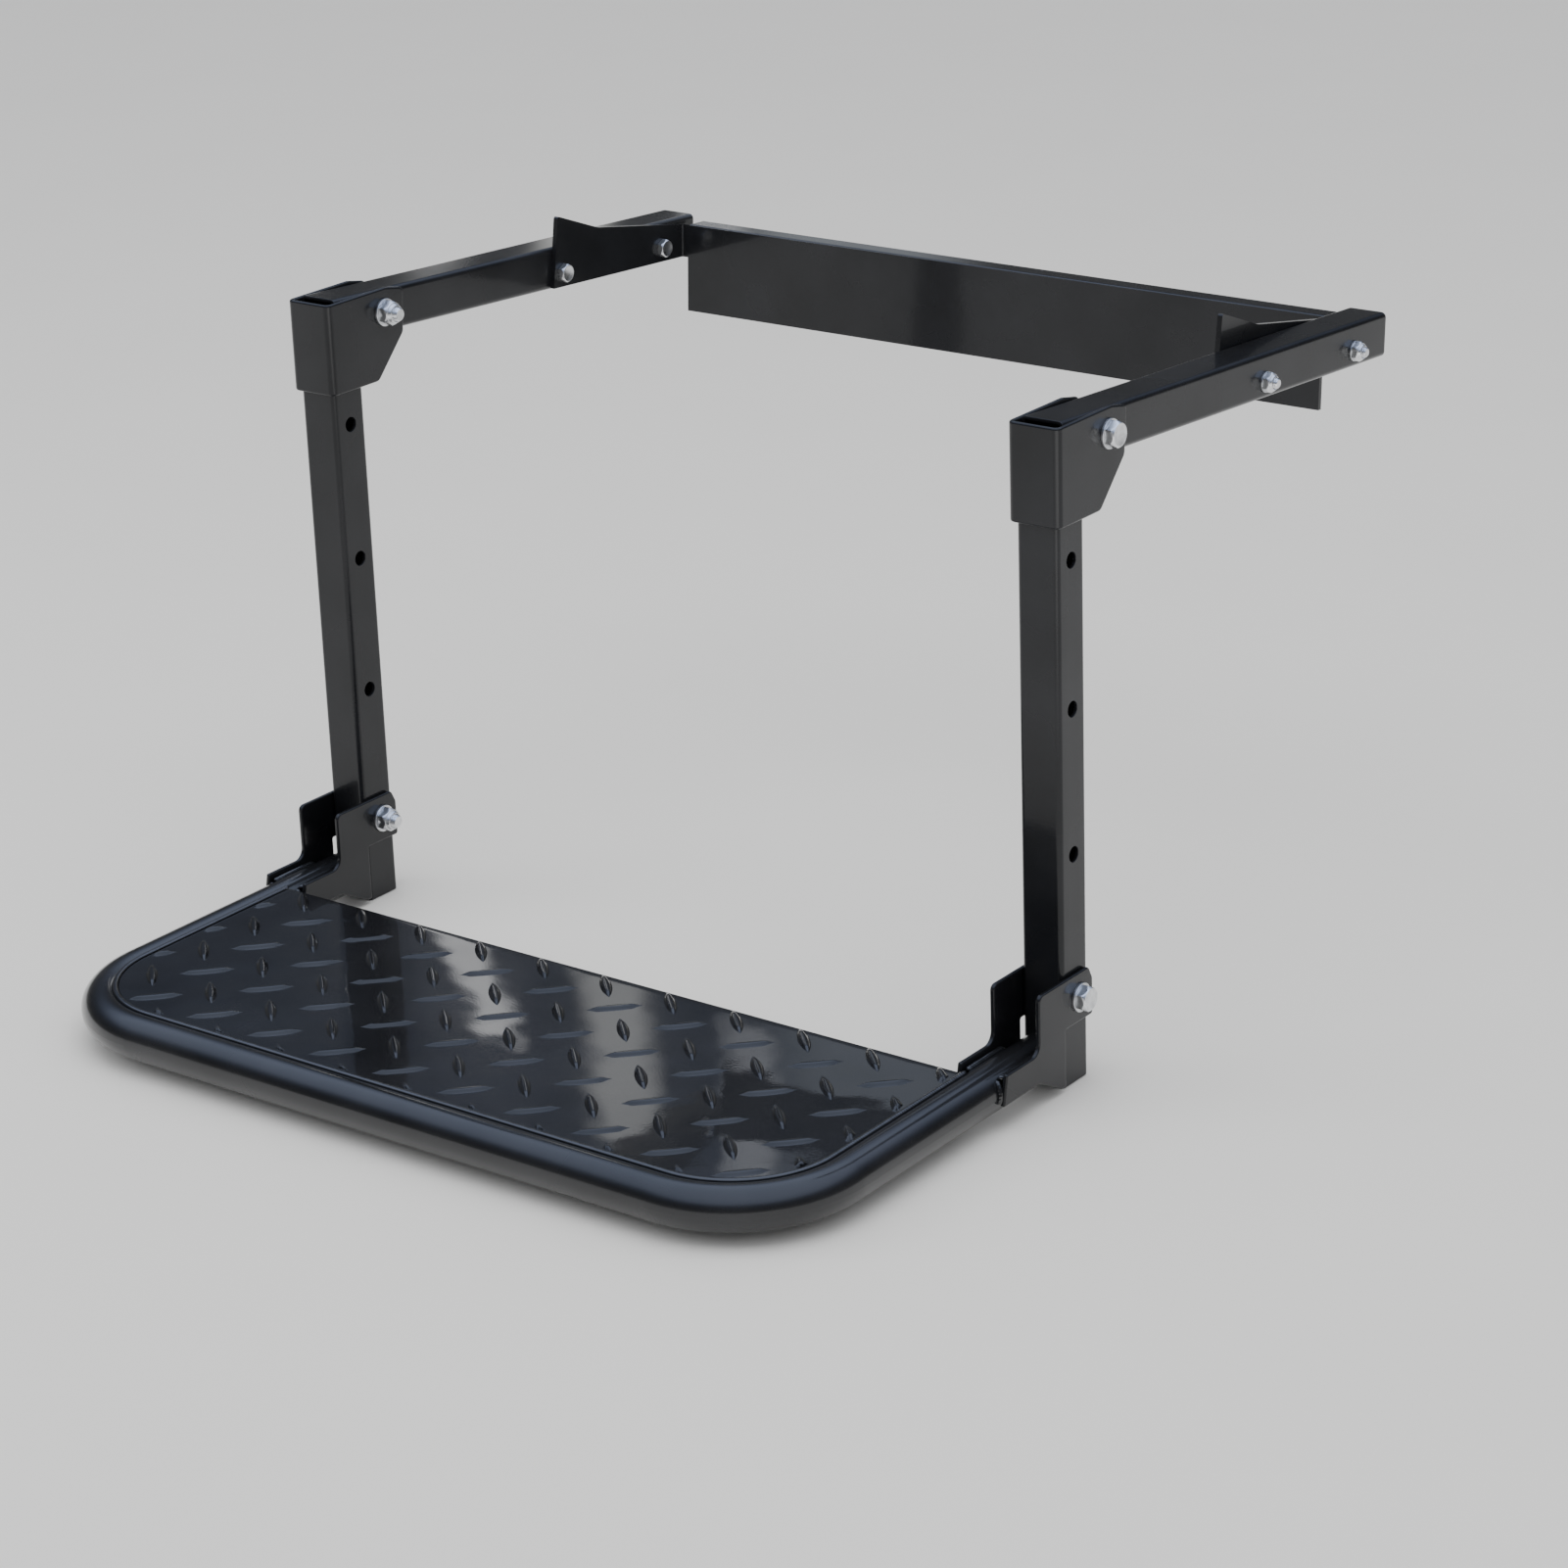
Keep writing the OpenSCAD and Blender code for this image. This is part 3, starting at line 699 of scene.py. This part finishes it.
def make_nuts(node, places, d, across_flats, height):
    """Lock nuts: a chamfered hexagon under a plain rolled collar."""
    bm = bmesh.new()
    collar = height * 0.75
    rim = across_flats * 0.4
    for place in places:
        levels = hexagon_levels(collar, across_flats, 0.0, 1)
        levels += [(collar + 0.05, across_flats * 0.45), (collar + 0.35, across_flats * 0.435),
                   (height - 0.5, rim + 0.12), (height - 0.15, rim - 0.1), (height, rim - 0.4),
                   (height, d / 2 + 0.55), (height - 0.25, d / 2 + 0.3), (height - 0.9, d / 2 + 0.12)]
        turned(bm, levels, capped(across_flats), place, 72)
    finish_fastener(bm, "rolled_", node)


def shifted(place, x):
    return lambda q: place(Vector((q.x + x, q.y, q.z)))


def make_fasteners():
    for side, name in ((-1, "left"), (1, "right")):
        for kind, y, z, half in (("arm", S["arm_pivot_y"], S["arm_pivot_z"], S["bracket_half"]),
                                 ("deck", 0.0, 0.0, S["ear_half"])):
            at = pivot_place(side, y, z)
            half += S["washer_t"]
            length = 2 * half + S["nut_h"] + S["bolt_tail"]
            make_bolts(f"{name}_{kind}_pivot_bolt", [shifted(at, -half)], S["bolt_d"], S["bolt_af"],
                       S["bolt_head"], length, PIVOT_PITCH, PIVOT_THREADED)
            make_nuts(f"{name}_{kind}_pivot_nut", [shifted(at, half)], S["bolt_d"], S["bolt_af"], S["nut_h"])
            eased_copy(f"{name}_{kind}_pivot_washers", WASHER_EDGE, ZINC_WASHER)
        places = [hook_place(side, y) for y in S["hook_bolt_y"]]
        seat = S["tube_w"] + S["hook_washer_t"]
        length = S["hook_t"] + seat + S["hook_nut_h"] + S["hook_bolt_tail"]
        make_bolts(f"{name}_hook_bolts", [shifted(at, -S["hook_t"]) for at in places], S["hook_bolt_d"],
                   S["hook_bolt_af"], S["hook_bolt_head"], length, HOOK_PITCH, HOOK_THREADED)
        make_nuts(f"{name}_hook_nuts", [shifted(at, seat) for at in places], S["hook_bolt_d"],
                  S["hook_bolt_af"], S["hook_nut_h"])
        eased_copy(f"{name}_hook_washers", HOOK_WASHER_EDGE, ZINC_WASHER)


# Stage and light

def make_stage():
    bpy.ops.mesh.primitive_plane_add(size=60, location=(0, 0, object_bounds()[0].z - FLOOR_GAP * MM))
    floor = bpy.context.object
    floor.name = "floor"
    floor.data.materials.append(floor_material())


def area_light(name, place, target, width, height, power):
    """A large soft lamp that stays out of reflections, where the sky shows in its place."""
    data = bpy.data.lights.new(name, "AREA")
    data.shape = "RECTANGLE"
    data.size = width
    data.size_y = height
    data.energy = power
    obj = bpy.data.objects.new(name, data)
    bpy.context.collection.objects.link(obj)
    obj.location = place
    obj.rotation_mode = "QUATERNION"
    obj.rotation_quaternion = (Vector(target) - Vector(place)).to_track_quat("-Z", "Y")
    obj.visible_camera = False
    obj.visible_glossy = False


def make_world():
    """A neutral sky for plain light, and for glossy faces a dark horizon under a bluish sky."""
    world = bpy.data.worlds.new("studio")
    bpy.context.scene.world = world
    world.use_nodes = True
    nodes, links = world.node_tree.nodes, world.node_tree.links
    back = nodes["Background"]
    coords = nodes.new("ShaderNodeTexCoord")
    split = nodes.new("ShaderNodeSeparateXYZ")
    links.new(coords.outputs["Generated"], split.inputs["Vector"])
    sky = nodes.new("ShaderNodeValToRGB")
    sky.color_ramp.interpolation = "B_SPLINE"
    stops = [
        (0.00, (0.15, 0.15, 0.137)),
        (0.49, (0.133, 0.133, 0.123)),
        (0.53, (0.023, 0.023, 0.023)),
        (0.69, (0.018, 0.019, 0.022)),
        (0.77, (0.07, 0.09, 0.14)),
        (0.84, (0.33, 0.39, 0.54)),
        (1.00, (0.40, 0.47, 0.63)),
    ]
    ramp = sky.color_ramp
    while len(ramp.elements) < len(stops):
        ramp.elements.new(0.5)
    for element, (position, colour) in zip(ramp.elements, stops):
        element.position = position
        element.color = (*colour, 1.0)
    height = ramp_node(nodes, links, split.outputs["Z"], -1.0, 1.0, 0.0, 1.0)
    links.new(height.outputs["Result"], sky.inputs["Fac"])
    # The ramp holds no value above 1, so its colours are raised after it
    raised = nodes.new("ShaderNodeVectorMath")
    raised.operation = "SCALE"
    raised.inputs["Scale"].default_value = 3.0
    links.new(sky.outputs["Color"], raised.inputs["Vector"])
    # Glossy faces see that sky, and all other light is neutral
    path = nodes.new("ShaderNodeLightPath")
    plain = colour_mix(nodes, links, height.outputs["Result"], (0.42, 0.42, 0.42), (0.92, 0.92, 0.92))
    mix = nodes.new("ShaderNodeMix")
    mix.data_type = "RGBA"
    links.new(path.outputs["Is Glossy Ray"], mix.inputs["Factor"])
    links.new(plain.outputs["Result"], mix.inputs["A"])
    links.new(raised.outputs["Vector"], mix.inputs["B"])
    links.new(mix.outputs["Result"], back.inputs["Color"])
    back.inputs["Strength"].default_value = 1.0


def panel(name, place, width, height, slant, strength, colour=(1.0, 1.0, 1.0), tilt=0.0, soft=0.35):
    """A soft-edged glowing sheet that only shows in the part's glossy faces."""
    w, h = width / 2 * MM, height / 2 * MM
    lean = slant / height
    shift = lean * h
    corners = [(-w - shift, 0, -h), (w - shift, 0, -h), (w + shift, 0, h), (-w + shift, 0, h)]
    mesh = bpy.data.meshes.new(name)
    mesh.from_pydata(corners, [], [(0, 1, 2, 3)])
    obj = bpy.data.objects.new(name, mesh)
    bpy.context.collection.objects.link(obj)
    obj.location = Vector(place) * MM
    obj.rotation_euler = (math.radians(tilt), 0.0, 0.0)
    obj.visible_camera = False
    obj.visible_diffuse = False
    obj.visible_shadow = False
    obj.visible_transmission = False
    mat = bpy.data.materials.new(name)
    mat.use_nodes = True
    nodes, links = mat.node_tree.nodes, mat.node_tree.links
    nodes.remove(nodes["Principled BSDF"])
    coords = nodes.new("ShaderNodeTexCoord")
    split = nodes.new("ShaderNodeSeparateXYZ")
    links.new(coords.outputs["Object"], split.inputs["Vector"])

    def maths(operation, *values):
        n = nodes.new("ShaderNodeMath")
        n.operation = operation
        for socket, value in zip(n.inputs, values):
            if isinstance(value, float):
                socket.default_value = value
            else:
                links.new(value, socket)
        return n.outputs["Value"]

    def fade(value, half, share):
        r = ramp_node(nodes, links, value, half * (1 - share), half, 1.0, 0.0)
        r.interpolation_type = "SMOOTHERSTEP"
        return r.outputs["Result"]

    across = maths("ABSOLUTE", maths("MULTIPLY_ADD", split.outputs["Z"], -lean, split.outputs["X"]))
    along = maths("ABSOLUTE", split.outputs["Z"])
    glow = maths("MULTIPLY", fade(across, w, 0.8), fade(along, h, soft))
    emit = nodes.new("ShaderNodeEmission")
    emit.inputs["Color"].default_value = (*colour, 1.0)
    links.new(maths("MULTIPLY", glow, strength), emit.inputs["Strength"])
    clear = nodes.new("ShaderNodeBsdfTransparent")
    both = nodes.new("ShaderNodeAddShader")
    links.new(emit.outputs["Emission"], both.inputs[0])
    links.new(clear.outputs["BSDF"], both.inputs[1])
    links.new(both.outputs["Shader"], nodes["Material Output"].inputs["Surface"])
    mesh.materials.append(mat)


make_camera()
make_world()
make_stage()
area_light("overhead", (0.3, -0.4, 2.6), (0, 0, 0), 2.6, 2.2, 38)
area_light("left_side", (-2.2, -1.6, 1.3), (0, 0, 0.1), 1.6, 1.4, 14)
area_light("right_side", (2.4, -0.6, 1.2), (0, 0, 0.1), 1.0, 1.6, 3)
# Panels behind the step, for the light streaks on the deck, and one beside it for the legs' sides
panel("panel_a", (-699, PANEL_Y, 322), 30, 144, -12, 2.1)
panel("panel_b", (-587, PANEL_Y, 311), 72, 122, 63, 2.4)
panel("panel_c", (-446, PANEL_Y, 351), 96, 178, 14, 1.2, (1.0, 1.0, 0.97))
panel("panel_d", (-328, PANEL_Y, 361), 76, 158, -8, 1.3, (0.95, 0.97, 1.0))
panel("panel_e", (-215, PANEL_Y, 350), 270, 180, 0, 0.45, (0.85, 0.92, 1.0))
panel("floor_card", (1250, -900, -40), 1900, 1200, 0, 1.7, (1.0, 1.0, 0.98), tilt=-90.0, soft=0.6)

for name in ("left_leg", "right_leg", "left_arm", "right_arm"):
    eased_copy(name, TUBE_EDGE, BLACK)
for name in ("left_upper_bracket", "right_upper_bracket"):
    eased_copy(name, BRACKET_EDGE, BLACK, 4)
for name in ("left_outer_plate", "left_inner_plate", "right_inner_plate", "right_outer_plate"):
    eased_copy(name, PLATE_EDGE, BLACK, 3)
make_deck_plate()
make_lugs()
make_deck_weld()
make_plate_welds()
make_fasteners()

# The CAD nodes that still show
for name, obj in frame["nodes"].items():
    if obj.hide_render:
        continue
    obj.data.materials.clear()
    obj.data.materials.append(TUBE if name == "deck_frame" else BLACK)
